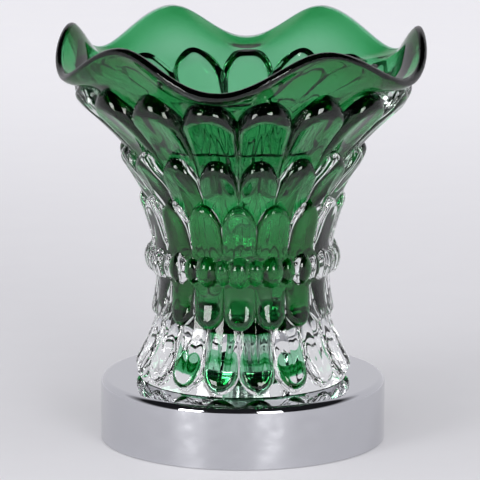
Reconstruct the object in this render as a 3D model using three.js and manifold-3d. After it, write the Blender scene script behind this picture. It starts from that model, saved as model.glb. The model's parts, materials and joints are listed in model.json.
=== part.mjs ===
// Electric aroma lamp: a cased-glass shade with moulded petals, a solid foot and a ruffled lip, clamped by a
// threaded tube to a round chrome touch base. A capsule bulb stands on the tube and an oil dish hangs over
// it in the throat of the shade.
// Millimetres, +Z up, front towards -Y, origin on the floor under the middle of the base.

import * as THREE from 'three';
import { mergeVertices } from 'three/addons/utils/BufferGeometryUtils.js';
import Module from 'manifold-3d';

const wasm = await Module();
wasm.setup();

// Clearances, and how far a cutting tool runs past the face that it cuts
const fitGap = 0.3;
const shadeGap = 0.6;
const overcut = 1;

// Chrome base
const baseRadius = 60;
const baseHeight = 26.5;
const baseEdgeRound = 2.75;
const baseWall = 1.2;
const baseRimLift = 0.4;

// Bottom cover, posts, screws and feet, set in from the edge of the base
const footRadius = 5.5;
const footThickness = 2.4;
const footInset = 12;
const coverThickness = 1.5;
const coverGap = 0.4;
const postRadius = 3.6;
const postInset = 14;
const postCount = 3;
const coverScrewRadius = 1.3;
const coverScrewLength = 9;
const coverScrewHeadRadius = 2.9;
const coverScrewHeadHeight = 1.7;

// Cord inlet at the back
const inletHeight = 11;
const inletBore = 3.4;
const grommetWall = 1.4;
const grommetFlange = 6.6;
const grommetFlangeThickness = 1.6;

// Glass shade: heights of its bands, from the chrome up
const skirtLift = 1;
const skirtHeight = 25.5;
const tongueHeight = 18.3;
const beadBandHeight = 13.4;
const neckHeight = 22.4;
const middleHeight = 20.4;
const topHeight = 27.2;
const lipHeight = 9;

// Glass shade: radius of the valleys between petals at each band's end
const skirtRadius = 43.4;
const waistRadius = 35;
const collarRadius = 36.4;
const throatRadius = 40.6;
const shoulderRadius = 48.9;
const mouthRadius = 68.2;
const lipRadius = 78;

// Glass shade: thickness of the clear casing at the same places
const waistWall = 11;
const collarWall = 12.4;
const throatWall = 14.2;
const shoulderWall = 8.6;
const mouthWall = 3.4;
const lipWall = 0.9;

// Green lining inside the casing, which grows thicker from the mouth to the lip
const liningThickness = 1.8;
const lipLining = 3.3;

// Floor of the bulb chamber above the solid foot: its height, its flat middle and its rounded edge
const chamberFloor = 19;
const floorFlatRadius = 9;
const floorRound = 10;

// Petals and tongues: how far the tip arches back at the seams, how deep its rounded edge is, how proud it
// stands at the tip and at the root, and the share of half its width that rounds off to the seam
const petalCount = 17;
const archFullness = 0.85;
const skirtTongue = { arch: 7, edge: 5.5, rise: 4.4, rootRise: 1, side: 0.6 };
const lowerTongue = { arch: 6, edge: 5, rise: 4.6, rootRise: 0.8, side: 0.6 };
const neckPetal = { arch: 9, edge: 4.4, rise: 4.2, rootRise: 0.6, side: 0.6 };
const middlePetal = { arch: 10, edge: 5.6, rise: 6.4, rootRise: 0.6, side: 0.5 };
const topPetal = { arch: 9, edge: 5.6, rise: 7.8, rootRise: 0.6, side: 0.45 };

// Oval beads round the collar: a large one on each petal line and a small one on each seam
const largeBead = { width: 9.2, height: 12.8, rise: 3.9 };
const smallBead = { width: 6.6, height: 10.4, rise: 2.8 };
const beadSink = 1;

// Ruffled lip
const ruffleLobes = 6;
const ruffleRise = 7.5;
const ruffleCurl = 3;
const curlSharpness = 2;
const ruffleStartBelowLip = 12.5;
const ruffleTurn = THREE.MathUtils.degToRad(-2);
const ruffleSpread = THREE.MathUtils.degToRad(8);
const ruffleSkew = THREE.MathUtils.degToRad(-25);

// Oil dish
const dishRimAboveShoulder = 2;
const dishDepth = 18.5;
const dishSeatLength = 11;
const dishWall = 1.6;
const dishFloorRadius = 20;

// Shade gallery and lamp tube
const galleryRadius = 16;
const galleryThickness = 1;
const galleryRimHeight = 2;
const tubeRadius = 5;
const tubeWall = 1.2;
const tubeBelowTop = 9;
const nutWidth = 14;
const nutHeight = 4;

// Bulb holder on its plate
const plateThickness = 1.5;
const holderLength = 25;
const holderWidth = 14;
const holderHeight = 15;
const holderChamberHeight = 3;
const holderChamberLength = 14;
const holderChamberWidth = 8;
const holderScrewSpacing = 18.6;
const holderScrewRadius = 1.5;
const holderScrewHeadRadius = 2.6;
const holderScrewHeadHeight = 1.6;
const holderScrewTail = 2.5;

// Pins of the bulb and the contacts that grip them
const pinSpacing = 9;
const pinLength = 9;
const pinWidth = 3.2;
const pinWire = 0.9;
const contactWidth = 3;
const contactLeaf = 0.4;
const contactBelowPin = 2;
const contactGrip = 6;

// Capsule bulb
const pinchWidth = 13;
const pinchThickness = 4.6;
const pinchHeight = 8;
const envelopeRadius = 7;
const envelopeWall = 0.9;
const envelopeHeight = 21;
const filamentRadius = 0.45;
const filamentHeight = 11;
const filamentSpan = 6;

// Touch dimmer
const dimmerLength = 46;
const dimmerWidth = 24;
const dimmerHeight = 14;
const dimmerWall = 1.2;
const dimmerInset = 26;
const boardThickness = 1.4;
const chipLength = 9.6;
const chipWidth = 6.4;
const chipHeight = 3.3;
const triacLength = 10;
const triacWidth = 4.5;
const triacHeight = 8.5;
const capacitorLength = 12;
const capacitorWidth = 6;
const capacitorHeight = 8;
const coilRadius = 5.2;
const coilThickness = 2.2;

// Terminal block
const blockWidth = 18;
const blockLength = 20;
const blockHeight = 12;
const blockX = 22;
const blockY = 26;
const poleSpacing = 9;
const poleBore = 1.7;
const clampScrewRadius = 1.6;
const clampScrewSpacing = 10;
const clampScrewSink = 0.6;

// Touch stud on the base and its lug
const studRadius = 2;
const studLength = 7;
const studX = 24;
const studY = -24;
const lugRadius = 4;
const lugThickness = 0.8;
const lugTongueLength = 9;
const lugTongueWidth = 3;
const studNutWidth = 7;
const studNutHeight = 3.2;

// Wires, and the places where they leave the dimmer case as shares of its length
const wireRadius = 0.8;
const wireEntry = 2;
const wireLead = 6;
const wireHeight = 11;
const neutralBendY = -2;
const exitShares = { live: 0.35, neutral: 0.24, lampOne: 0.06, lampTwo: -0.06, touch: -0.3 };

// Facets
const glassSteps = 102;
const baseSteps = 48;
const dishSteps = 32;
const smallSteps = 12;
const wireSides = 6;
const wireSteps = 20;
const weldDistance = 1e-5;
const slopeStep = 0.01;

// Where rings of facets lie, as shares of a rounded edge, the bead band, a quarter turn, a span or the nose
const edgeShares = [0, 0.12, 0.45, 1];
const beadShares = [0, 0.3, 0.5, 0.7, 1];
const quarterShares = [0, 0.25, 0.5, 0.75, 1];
const thirdShares = [0, 1 / 3, 2 / 3, 1];
const noseShares = [1 / 6, 1 / 2, 5 / 6];

// Finishes
const chrome = { color: 0xc9ccd6, metalness: 1, roughness: 0.08 };
const steel = { color: 0x9a9da3, metalness: 1, roughness: 0.35 };
const brass = { color: 0xc9a352, metalness: 1, roughness: 0.3 };
const clearGlass = { color: 0xf2f6f4, metalness: 0, roughness: 0.03, transparent: true, opacity: 0.35 };
const greenGlass = { color: 0x1f8a48, metalness: 0, roughness: 0.03, transparent: true, opacity: 0.6 };
const rubber = { color: 0x1b1b1d, metalness: 0, roughness: 0.8 };
const blackPlastic = { color: 0x232427, metalness: 0, roughness: 0.5 };
const ceramic = { color: 0xe6e2d8, metalness: 0, roughness: 0.6 };
const whitePlastic = { color: 0xe9e9e4, metalness: 0, roughness: 0.45 };
const boardGreen = { color: 0x1d5a36, metalness: 0, roughness: 0.5 };
const tungsten = { color: 0x6f6f72, metalness: 1, roughness: 0.4 };
const copper = { color: 0xb8693c, metalness: 1, roughness: 0.35 };
const brownSleeve = { color: 0x5d3a22, metalness: 0, roughness: 0.5 };
const blueSleeve = { color: 0x2d5fa8, metalness: 0, roughness: 0.5 };
const whiteSleeve = { color: 0xdedcd6, metalness: 0, roughness: 0.5 };
const yellowSleeve = { color: 0xc9b23a, metalness: 0, roughness: 0.5 };

// Levels and radii that follow from the sizes above
const fullTurn = 2 * Math.PI;
const waistLevel = skirtLift + skirtHeight;
const beadLowLevel = waistLevel + tongueHeight;
const beadHighLevel = beadLowLevel + beadBandHeight;
const collarLevel = (beadLowLevel + beadHighLevel) / 2;
const throatLevel = beadHighLevel + neckHeight;
const shoulderLevel = throatLevel + middleHeight;
const mouthLevel = shoulderLevel + topHeight;
const lipLevel = mouthLevel + lipHeight;
const coverTop = footThickness + coverThickness;
const footRingRadius = baseRadius - footInset;
const postRingRadius = baseRadius - postInset;
const dimmerOffset = baseRadius - dimmerInset;
const topUnderside = baseHeight - baseWall;
const tubeBore = tubeRadius - tubeWall;
const tubeHole = tubeRadius + fitGap;
const shadeHole = tubeRadius + shadeGap;
const recessRadius = galleryRadius + shadeGap;
const recessDepth = galleryRimHeight + shadeGap;
const liningFloor = baseHeight + chamberFloor + fitGap + liningThickness;
const plateBottom = liningFloor + nutHeight;
const holderBottom = plateBottom + plateThickness;
const holderTop = holderBottom + holderHeight;
const contactBottom = holderTop - pinLength - contactBelowPin - contactLeaf;
const dishRimLevel = shoulderLevel + dishRimAboveShoulder;

// Geometry helpers

// Keeps positions only, joins shared corners, drops triangles of no area and turns the faces outwards
function weld(geometry) {
  const bare = geometry.index ? geometry.toNonIndexed() : geometry.clone();
  for (const key of Object.keys(bare.attributes)) {
    if (key !== 'position') bare.deleteAttribute(key);
  }
  const joined = mergeVertices(bare, weldDistance);
  const corners = [0, 1, 2].map(() => new THREE.Vector3());
  const kept = [];
  let volume = 0;
  for (let i = 0; i < joined.index.count; i += 3) {
    const triangle = [0, 1, 2].map((k) => joined.index.getX(i + k));
    if (new Set(triangle).size < 3) continue;
    triangle.forEach((vertex, k) => corners[k].fromBufferAttribute(joined.attributes.position, vertex));
    volume += corners[0].dot(corners[1].clone().cross(corners[2]));
    kept.push(triangle);
  }
  const outward = volume > 0 ? kept : kept.map(([a, b, c]) => [a, c, b]);
  joined.setIndex(outward.flat());
  return joined;
}

function toSolid(geometry) {
  const welded = weld(geometry);
  const vertProperties = new Float32Array(welded.attributes.position.array);
  const triVerts = new Uint32Array(welded.index.array);
  return new wasm.Manifold(new wasm.Mesh({ numProp: 3, vertProperties, triVerts }));
}

function fromSolid(solid) {
  const { vertProperties, triVerts } = solid.getMesh();
  const geometry = new THREE.BufferGeometry();
  geometry.setAttribute('position', new THREE.BufferAttribute(vertProperties, 3));
  geometry.setIndex(new THREE.BufferAttribute(triVerts, 1));
  return geometry;
}

function cut(geometry, tools) {
  const solid = tools.reduce((rest, tool) => rest.subtract(toSolid(tool)), toSolid(geometry));
  return fromSolid(solid);
}

function onCircle(radius, angle) {
  return [radius * Math.cos(angle), radius * Math.sin(angle)];
}

function circle(radius, sides, x = 0, y = 0) {
  const corner = (_, i) => {
    const [across, along] = onCircle(radius, (i / sides) * fullTurn);
    return new THREE.Vector2(x + across, y + along);
  };
  return Array.from({ length: sides }, corner);
}

function rectangle(length, width, x = 0, y = 0) {
  const corners = [[-1, -1], [1, -1], [1, 1], [-1, 1]];
  return corners.map(([i, j]) => new THREE.Vector2(x + (i * length) / 2, y + (j * width) / 2));
}

// An oblong with half-round ends along X
function oblong(length, width) {
  const radius = width / 2;
  const reach = length / 2 - radius;
  const end = (side) => Array.from({ length: smallSteps / 2 + 1 }, (_, i) => {
    const angle = ((i * 2) / smallSteps - 0.5) * Math.PI;
    return new THREE.Vector2(side * (reach + radius * Math.cos(angle)), side * radius * Math.sin(angle));
  });
  return [...end(1), ...end(-1)];
}

// An upright prism from z = 0 with straight holes
function prism(outline, holes, height) {
  const shape = new THREE.Shape(outline);
  shape.holes = holes.map((hole) => new THREE.Path(hole));
  return new THREE.ExtrudeGeometry(shape, { depth: height, bevelEnabled: false });
}

function box(length, width, height) {
  return prism(rectangle(length, width), [], height);
}

function rod(radius, height, sides = smallSteps) {
  return prism(circle(radius, sides), [], height);
}

// A ring or disc turned about Z from [radius, height] corners
function turned(profile, steps) {
  const closed = [...profile, profile[0]].map(([radius, height]) => new THREE.Vector2(radius, height));
  return new THREE.LatheGeometry(closed, steps).rotateX(Math.PI / 2);
}

// A hexagon with flats towards +X and -X
function hexagon(width) {
  const corner = (_, i) => new THREE.Vector2(...onCircle(width / Math.sqrt(3), ((i + 0.5) / 6) * fullTurn));
  return Array.from({ length: 6 }, corner);
}

function wireAlong(points, radius = wireRadius) {
  const path = new THREE.CatmullRomCurve3(points.map(([x, y, z]) => new THREE.Vector3(x, y, z)));
  const section = new THREE.Shape(circle(radius, wireSides));
  return new THREE.ExtrudeGeometry(section, { steps: wireSteps, extrudePath: path, bevelEnabled: false });
}

function addPiece(parent, name, geometry, finish, x = 0, y = 0, z = 0) {
  const piece = new THREE.Mesh(weld(geometry), new THREE.MeshStandardMaterial(finish));
  piece.name = name;
  piece.position.set(x, y, z);
  parent.add(piece);
}

// Shape of the shade

// A smooth radius at any height through a few [height, radius] points
function smoothLine(points) {
  const last = points.length - 1;
  const slopeAt = (i) => {
    const [lowHeight, lowRadius] = points[Math.max(i - 1, 0)];
    const [highHeight, highRadius] = points[Math.min(i + 1, last)];
    return (highRadius - lowRadius) / (highHeight - lowHeight);
  };
  return (height) => {
    const above = points.findIndex(([end], i) => i > 0 && height <= end);
    const i = above < 0 ? last : above;
    const [h0, r0] = points[i - 1];
    const [h1, r1] = points[i];
    const span = h1 - h0;
    const t = (height - h0) / span;
    const start = (1 + 2 * t) * (1 - t) ** 2 * r0 + t * (1 - t) ** 2 * span * slopeAt(i - 1);
    return start + t ** 2 * (3 - 2 * t) * r1 + t ** 2 * (t - 1) * span * slopeAt(i);
  };
}

const valleyLine = smoothLine([
  [0, skirtRadius],
  [waistLevel, waistRadius],
  [collarLevel, collarRadius],
  [throatLevel, throatRadius],
  [shoulderLevel, shoulderRadius],
  [mouthLevel, mouthRadius],
  [lipLevel, lipRadius],
]);

const boreLine = smoothLine([
  [waistLevel, waistRadius - waistWall],
  [collarLevel, collarRadius - collarWall],
  [throatLevel, throatRadius - throatWall],
  [shoulderLevel, shoulderRadius - shoulderWall],
  [mouthLevel, mouthRadius - mouthWall],
  [lipLevel, lipRadius - lipWall],
]);

// Outward unit normal of a line at a height, as [radial, vertical]
function normalAt(line, height) {
  const slope = (line(height + slopeStep) - line(height - slopeStep)) / (2 * slopeStep);
  const length = Math.hypot(1, slope);
  return [1 / length, -slope / length];
}

// The point that stands proud of a line at a height, pushed along the line's normal
function proudPoint(line, height, rise) {
  const [radial, vertical] = normalAt(line, height);
  return [line(height) + radial * rise, height + vertical * rise];
}

// Moves a point at a height on the shade with the ruffle of the lip, whose peaks curl inwards and lie wider
// apart on one side than on the other
function ruffled([radius, z], height, angle) {
  const start = lipLevel - ruffleStartBelowLip;
  const share = THREE.MathUtils.smoothstep(height, start, lipLevel);
  const turned = angle - ruffleTurn;
  const wave = -Math.cos(ruffleLobes * (turned - ruffleSpread * Math.sin(turned + ruffleSkew)));
  const curl = ruffleCurl * ((1 + wave) / 2) ** curlSharpness;
  return [radius - curl * share, z + ruffleRise * wave * share];
}

// Place across a petal, -1 and 1 on its seams and 0 on its middle, for rows with a petal or a seam in front
function acrossPetal(angle, seamInFront) {
  const turns = (angle / fullTurn) * petalCount + (seamInFront ? 0.5 : 0);
  return 2 * (turns - Math.round(turns));
}

// Rises from 0 on a petal's seams to 1 on its flat face
function crown(across, petal) {
  const inside = THREE.MathUtils.clamp((1 - Math.abs(across)) / petal.side, 0, 1);
  return Math.sqrt(1 - (1 - inside) ** 2);
}

// How far a tip's round arch has dropped, from 0 on its middle to 1 on its seams
function archDrop(across) {
  return (1 - Math.sqrt(1 - (archFullness * across) ** 2)) / (1 - Math.sqrt(1 - archFullness ** 2));
}

// Rises from 0 at a petal's edge to 1 where its rounded edge ends
function edgeRound(depth, petal) {
  const inside = THREE.MathUtils.clamp(depth / petal.edge, 0, 1);
  return Math.sqrt(1 - (1 - inside) ** 2);
}

function beadRise(angle, height, seamInFront, bead) {
  const pitch = (fullTurn / petalCount) * (collarRadius + beadSink);
  const sideways = (acrossPetal(angle, seamInFront) * pitch) / bead.width;
  const upwards = ((height - collarLevel) * 2) / bead.height;
  return beadSink + bead.rise * Math.sqrt(Math.max(0, 1 - sideways ** 2 - upwards ** 2));
}

// Height and rise of the moulded outside, from the foot to the lip, at one angle
function mouldedOutside(angle) {
  const onSeam = acrossPetal(angle, true);
  const onPetal = acrossPetal(angle, false);
  const skirtEdge = skirtLift + skirtTongue.arch * archDrop(onSeam);
  const lowerEdge = waistLevel + lowerTongue.arch * archDrop(onPetal);
  const neckEdge = throatLevel - neckPetal.arch * archDrop(onPetal);
  const middleEdge = shoulderLevel - middlePetal.arch * archDrop(onSeam);
  const topEdge = mouthLevel - topPetal.arch * archDrop(onSeam);
  const points = [{ height: 0, rise: 0 }];

  // A row of tongues that hang down over the band below, whose own rise is given
  const hang = (petal, across, edge, end, below) => {
    const riseAt = (height) => {
      const face = THREE.MathUtils.mapLinear(height, edge, end, petal.rise, petal.rootRise);
      return THREE.MathUtils.lerp(below, face * crown(across, petal), edgeRound(height - edge, petal));
    };
    const middle = (edge + petal.edge + end) / 2;
    const heights = [...edgeShares.map((share) => edge + share * petal.edge), middle];
    heights.forEach((height) => points.push({ height, rise: riseAt(height) }));
  };

  // A row of petals that stand up over the band above, whose own rise is given
  const stand = (petal, across, start, edge, above) => {
    const riseAt = (height) => {
      const face = THREE.MathUtils.mapLinear(height, start, edge, petal.rootRise, petal.rise);
      return THREE.MathUtils.lerp(above, face * crown(across, petal), edgeRound(edge - height, petal));
    };
    const middle = (start + edge - petal.edge) / 2;
    const heights = [middle, ...edgeShares.map((share) => edge - share * petal.edge).reverse()];
    heights.forEach((height) => points.push({ height, rise: riseAt(height) }));
  };

  const rootRise = (petal, across) => petal.rootRise * crown(across, petal);
  hang(skirtTongue, onSeam, skirtEdge, lowerEdge, 0);
  hang(lowerTongue, onPetal, lowerEdge, beadLowLevel, rootRise(skirtTongue, onSeam));
  for (const share of beadShares) {
    const height = THREE.MathUtils.lerp(beadLowLevel, beadHighLevel, share);
    const large = beadRise(angle, height, false, largeBead);
    const small = beadRise(angle, height, true, smallBead);
    points.push({ height, rise: Math.max(large, small) });
  }
  stand(neckPetal, onPetal, beadHighLevel, neckEdge, rootRise(middlePetal, onSeam));
  stand(middlePetal, onSeam, neckEdge, middleEdge, rootRise(topPetal, onSeam));
  stand(topPetal, onSeam, middleEdge, topEdge, 0);
  points.push({ height: (topEdge + lipLevel) / 2, rise: 0 });
  points.push({ height: lipLevel, rise: 0 });
  return points;
}

// Heights of the bore's rings, from the lip down to the lower edge of the beads
function boreHeights() {
  const belowMouth = (mouthLevel + shoulderLevel) / 2;
  return [lipLevel, mouthLevel, belowMouth, shoulderLevel, throatLevel, collarLevel, beadLowLevel];
}

// The floor of the bulb chamber from the wall in to the hole for the tube, raised by a depth
function chamberFloorLine(depth) {
  const top = chamberFloor + floorRound;
  const reach = boreLine(top) - floorFlatRadius - depth;
  const round = quarterShares.map((share) => {
    const [across, down] = onCircle(1, (share * Math.PI) / 2);
    return [floorFlatRadius + across * reach, top - down * (floorRound - depth)];
  });
  return [...round, [shadeHole, chamberFloor + depth]];
}

// The points that go round the nose of the lip, and its inner edge, over the end of the lining
function lipNose(angle) {
  const [radial, vertical] = normalAt(valleyLine, lipLevel);
  const bore = proudPoint(boreLine, lipLevel, -fitGap - lipLining);
  const outside = [lipRadius, lipLevel];
  const thickness = Math.hypot(outside[0] - bore[0], outside[1] - bore[1]);
  const centre = [(outside[0] + bore[0]) / 2, (outside[1] + bore[1]) / 2];
  const around = noseShares.map((share) => {
    const turn = share * Math.PI;
    const across = (Math.cos(turn) * thickness) / 2;
    const along = (Math.sin(turn) * thickness) / 2;
    return [centre[0] + radial * across - vertical * along, centre[1] + vertical * across + radial * along];
  });
  return [...around, bore].map((point) => ruffled(point, lipLevel, angle));
}

// The points of the outside at one angle, for the heights that a test keeps
function outsidePoints(angle, keeps) {
  return mouldedOutside(angle).filter(({ height }) => keeps(height)).map(({ height, rise }) => {
    return ruffled(proudPoint(valleyLine, height, rise), height, angle);
  });
}

// The casing is in two solids that meet on the lower edge of the beads: the body with the bowl, and the foot
function casingProfile(angle) {
  const outside = outsidePoints(angle, (height) => height >= beadLowLevel);
  const bore = boreHeights().map((height) => ruffled([boreLine(height), height], height, angle));
  return [...outside, ...lipNose(angle), ...bore];
}

function footProfile(angle) {
  const outside = outsidePoints(angle, (height) => height <= beadLowLevel);
  const hole = [[shadeHole, recessDepth], [recessRadius, recessDepth], [recessRadius, 0]];
  return [...outside, [boreLine(beadLowLevel), beadLowLevel], ...chamberFloorLine(0), ...hole];
}

function liningDepth(height) {
  const share = THREE.MathUtils.smoothstep(height, mouthLevel, lipLevel);
  return THREE.MathUtils.lerp(liningThickness, lipLining, share);
}

function liningProfile(angle) {
  const heights = boreHeights();
  heights[0] -= fitGap;
  const layer = (height, depth) => ruffled(proudPoint(boreLine, height, -fitGap - depth), height, angle);
  const outside = heights.map((height) => layer(height, 0));
  const inside = heights.map((height) => layer(height, liningDepth(height)));
  const floorTop = chamberFloorLine(fitGap + liningThickness);
  return [...outside, ...chamberFloorLine(fitGap), ...[...inside, ...floorTop].reverse()];
}

// A closed ring whose section may change with the angle, counted from the front
function ringOf(profileAt, steps) {
  const sections = Array.from({ length: steps }, (_, i) => profileAt((i / steps) * fullTurn));
  const count = sections[0].length;
  const positions = [];
  const index = [];
  sections.forEach((section, i) => {
    const angle = (i / steps) * fullTurn;
    const next = (i + 1) % steps;
    section.forEach(([radius, z], j) => {
      const after = (j + 1) % count;
      positions.push(radius * Math.sin(angle), -radius * Math.cos(angle), z);
      index.push(i * count + j, next * count + j, next * count + after);
      index.push(i * count + j, next * count + after, i * count + after);
    });
  });
  const geometry = new THREE.BufferGeometry();
  geometry.setAttribute('position', new THREE.Float32BufferAttribute(positions, 3));
  geometry.setIndex(index);
  return geometry;
}

// The glass shade and its dish, both measured from the chrome up
function buildShade() {
  const shade = new THREE.Group();
  shade.position.z = baseHeight;
  addPiece(shade, 'glass_casing', ringOf(casingProfile, glassSteps), clearGlass);
  addPiece(shade, 'glass_foot', ringOf(footProfile, glassSteps), clearGlass);
  addPiece(shade, 'green_lining', ringOf(liningProfile, glassSteps), greenGlass);
  addPiece(shade, 'oil_dish', turned(dishProfile(), dishSteps), clearGlass);
  return shade;
}

function dishProfile() {
  const seatDepth = fitGap + liningThickness + fitGap;
  const bottom = dishRimLevel - dishDepth;
  const seatHeights = thirdShares.map((share) => dishRimLevel - dishSeatLength * (1 - share));
  const outside = seatHeights.map((height) => proudPoint(boreLine, height, -seatDepth));
  const inside = seatHeights.map((height) => proudPoint(boreLine, height, -seatDepth - dishWall)).reverse();
  const [rimOut, rimIn] = [outside.at(-1), inside[0]];
  const rim = [(rimOut[0] + rimIn[0]) / 2, Math.max(rimOut[1], rimIn[1]) + dishWall / 2];
  const floor = [[dishFloorRadius - dishWall, bottom + dishWall], [0, bottom + dishWall], [0, bottom]];
  return [...outside, rim, ...inside, ...floor, [dishFloorRadius, bottom]];
}

// Chrome shell, bottom cover, posts, screws, feet and cord inlet
function buildBase() {
  const base = new THREE.Group();
  const postAngles = Array.from({ length: postCount }, (_, i) => (i / postCount) * fullTurn);
  const inletHole = inletBore + grommetWall + fitGap;
  const inletTool = rod(inletHole, baseRadius + overcut).rotateX(-Math.PI / 2).translate(0, 0, inletHeight);
  addPiece(base, 'base_shell', cut(turned(shellProfile(), baseSteps), [inletTool]), chrome);
  const grommet = turned(grommetProfile(), smallSteps).rotateX(-Math.PI / 2);
  addPiece(base, 'cord_grommet', grommet, rubber, 0, 0, inletHeight);

  const screwHole = coverScrewRadius + fitGap;
  const postPlaces = postAngles.map((angle) => onCircle(postRingRadius, angle));
  const coverHoles = postPlaces.map(([x, y]) => circle(screwHole, smallSteps, x, y));
  const coverOutline = circle(baseRadius - baseWall - coverGap, baseSteps);
  addPiece(base, 'bottom_cover', prism(coverOutline, coverHoles, coverThickness), steel, 0, 0, footThickness);

  const postBore = circle(screwHole, smallSteps);
  const post = prism(circle(postRadius, smallSteps), [postBore], topUnderside - coverTop);
  const screw = turned([
    [0, -coverScrewHeadHeight],
    [coverScrewHeadRadius, -coverScrewHeadHeight],
    [coverScrewHeadRadius, 0],
    [coverScrewRadius, 0],
    [coverScrewRadius, coverScrewLength],
    [0, coverScrewLength],
  ], smallSteps);
  const foot = rod(footRadius, footThickness);
  postPlaces.forEach(([x, y], i) => {
    addPiece(base, `cover_post_${i + 1}`, post, steel, x, y, coverTop);
    addPiece(base, `cover_screw_${i + 1}`, screw, steel, x, y, footThickness);
    const footAngle = postAngles[i] + fullTurn / (2 * postCount);
    const [footX, footY] = onCircle(footRingRadius, footAngle);
    addPiece(base, `rubber_foot_${i + 1}`, foot, rubber, footX, footY, 0);
  });
  return base;
}

function shellProfile() {
  const centre = [baseRadius - baseEdgeRound, baseHeight - baseEdgeRound];
  const corner = (radius) => (share) => {
    const [across, up] = onCircle(radius, (share * Math.PI) / 2);
    return [centre[0] + across, centre[1] + up];
  };
  const outside = quarterShares.map(corner(baseEdgeRound));
  const inside = quarterShares.map(corner(baseEdgeRound - baseWall)).reverse();
  const hole = [[tubeHole, baseHeight], [tubeHole, topUnderside]];
  const rim = [[baseRadius - baseWall, baseRimLift], [baseRadius, baseRimLift]];
  return [...outside, ...hole, ...inside, ...rim];
}

// Grommet turned about the inlet's axis: its heights are distances from the middle of the base
function grommetProfile() {
  const neck = inletBore + grommetWall;
  const outerFace = baseRadius + fitGap;
  const innerFace = Math.sqrt((baseRadius - baseWall) ** 2 - grommetFlange ** 2) - fitGap;
  const outerEnd = outerFace + grommetFlangeThickness;
  const innerEnd = innerFace - grommetFlangeThickness;
  return [
    [inletBore, innerEnd],
    [grommetFlange, innerEnd],
    [grommetFlange, innerFace],
    [neck, innerFace],
    [neck, outerFace],
    [grommetFlange, outerFace],
    [neck, outerEnd],
    [inletBore, outerEnd],
  ];
}

// Gallery cup that centres the shade, threaded tube and nuts that clamp it, and the bulb holder on its plate
function buildLampStem() {
  const stem = new THREE.Group();
  const gallery = turned([
    [tubeHole, 0],
    [galleryRadius, 0],
    [galleryRadius, galleryRimHeight],
    [galleryRadius - galleryThickness, galleryRimHeight],
    [galleryRadius - galleryThickness, galleryThickness],
    [tubeHole, galleryThickness],
  ], baseSteps);
  addPiece(stem, 'shade_gallery', gallery, chrome, 0, 0, baseHeight);

  const tubeBottom = topUnderside - tubeBelowTop;
  const tubeLength = holderBottom - tubeBottom;
  const tube = prism(circle(tubeRadius, smallSteps), [circle(tubeBore, smallSteps)], tubeLength);
  addPiece(stem, 'lamp_tube', tube, steel, 0, 0, tubeBottom);
  const nut = prism(hexagon(nutWidth), [circle(tubeHole, smallSteps)], nutHeight);
  addPiece(stem, 'tube_nut_lower', nut, steel, 0, 0, topUnderside - nutHeight);
  addPiece(stem, 'tube_nut_upper', nut, steel, 0, 0, liningFloor);

  const screwHole = holderScrewRadius + fitGap;
  const screwPlaces = [-holderScrewSpacing / 2, holderScrewSpacing / 2];
  const screwHoles = screwPlaces.map((x) => circle(screwHole, smallSteps, x));
  const holderOutline = oblong(holderLength, holderWidth);
  const plateHoles = [circle(tubeHole, smallSteps), ...screwHoles];
  addPiece(stem, 'holder_plate', prism(holderOutline, plateHoles, plateThickness), steel, 0, 0, plateBottom);

  const slotLength = Math.max(contactWidth, pinWidth) + 4 * fitGap;
  const slotWidth = pinWire + 4 * fitGap + 2 * contactLeaf;
  const slotPlaces = [-pinSpacing / 2, pinSpacing / 2];
  const slotDepth = holderHeight + 2 * overcut;
  const slots = slotPlaces.map((x) => box(slotLength, slotWidth, slotDepth).translate(x, 0, -overcut));
  const chamberDepth = holderChamberHeight + overcut;
  const chamber = box(holderChamberLength, holderChamberWidth, chamberDepth).translate(0, 0, -overcut);
  const block = prism(holderOutline, screwHoles, holderHeight);
  addPiece(stem, 'lamp_holder', cut(block, [chamber, ...slots]), ceramic, 0, 0, holderBottom);

  const screw = turned([
    [0, -holderHeight - plateThickness - holderScrewTail],
    [holderScrewRadius, -holderHeight - plateThickness - holderScrewTail],
    [holderScrewRadius, 0],
    [holderScrewHeadRadius, 0],
    [holderScrewHeadRadius, holderScrewHeadHeight],
    [0, holderScrewHeadHeight],
  ], smallSteps);
  screwPlaces.forEach((x, i) => addPiece(stem, `holder_screw_${i + 1}`, screw, steel, x, 0, holderTop));
  const clip = contactClip();
  slotPlaces.forEach((x, i) => addPiece(stem, `holder_contact_${i + 1}`, clip, brass, x, 0, contactBottom));
  return stem;
}

// A spring clip with two leaves that stand on either side of a pin, bent up from one strip
function contactClip() {
  const inner = pinWire / 2 + fitGap;
  const outer = inner + contactLeaf;
  const height = contactLeaf + contactBelowPin + contactGrip;
  const outline = [
    [-outer, 0], [outer, 0], [outer, height], [inner, height],
    [inner, contactLeaf], [-inner, contactLeaf], [-inner, height], [-outer, height],
  ].map(([y, z]) => new THREE.Vector2(y, z));
  const strip = prism(outline, [], contactWidth).translate(0, 0, -contactWidth / 2);
  return strip.rotateX(Math.PI / 2).rotateZ(Math.PI / 2);
}

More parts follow.
